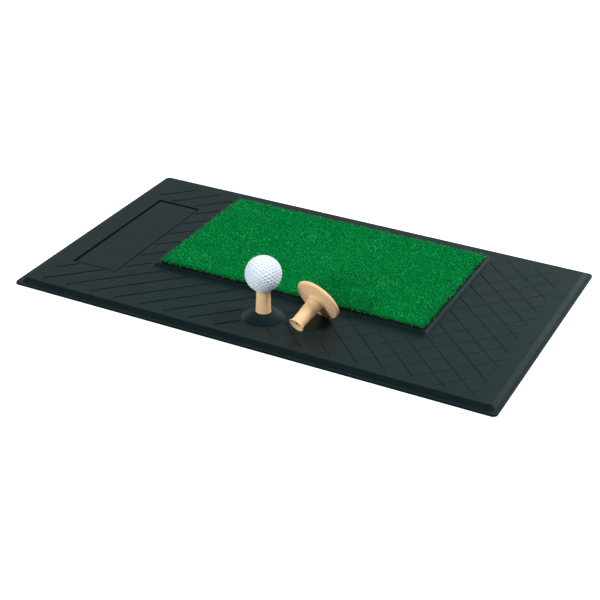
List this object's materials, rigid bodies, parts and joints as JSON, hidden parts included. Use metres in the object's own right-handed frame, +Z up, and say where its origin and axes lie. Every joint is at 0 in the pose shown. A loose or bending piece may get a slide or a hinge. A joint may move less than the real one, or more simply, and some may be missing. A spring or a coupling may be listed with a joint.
{
  "type": "golf hitting mat",
  "caption": "Rectangular moulded rubber golf practice mat with a glued turf panel, a push-through rubber tee holding a ball, a spare rubber tee and a grooved surround.",
  "frame": {"origin": "on the floor under the middle of the rubber base", "axes": "+X along the mat's long side with the blank plate recess at -X, +Y from the tee's edge to the back edge, +Z up"},
  "size_m": [0.617, 0.3536, 0.0845],
  "materials": {
    "base_rubber": "satin moulded black rubber",
    "adhesive": "dried contact adhesive",
    "foam_backing": "matt latex foam",
    "woven_backing": "woven polypropylene",
    "turf_yarn": "curled nylon pile",
    "tee_rubber": "matt tan rubber",
    "ball_cover": "gloss white dimpled cover",
    "ball_core": "solid rubber core"
  },
  "bodies": {
    "mat": {"rubber_base": "base_rubber", "turf_adhesive": "adhesive", "turf_foam_backing": "foam_backing", "turf_primary_backing": "woven_backing", "turf_pile": "turf_yarn"},
    "tee": {"tee": "tee_rubber"},
    "ball": {"ball_cover": "ball_cover", "ball_core": "ball_core"},
    "spare_tee": {"spare_tee": "tee_rubber"}
  },
  "joints": [
    {"name": "tee_push_out", "type": "slide", "parent": "mat", "child": "tee", "axis": [0, 0, 1], "range_m": [-0.05, 0]},
    {"name": "ball_lift", "type": "slide", "parent": "mat", "child": "ball", "axis": [0, 0, 1], "range_m": [0, 0.12]},
    {"name": "spare_tee_lift", "type": "slide", "parent": "mat", "child": "spare_tee", "axis": [0, 0, 1], "range_m": [0, 0.12]}
  ]
}
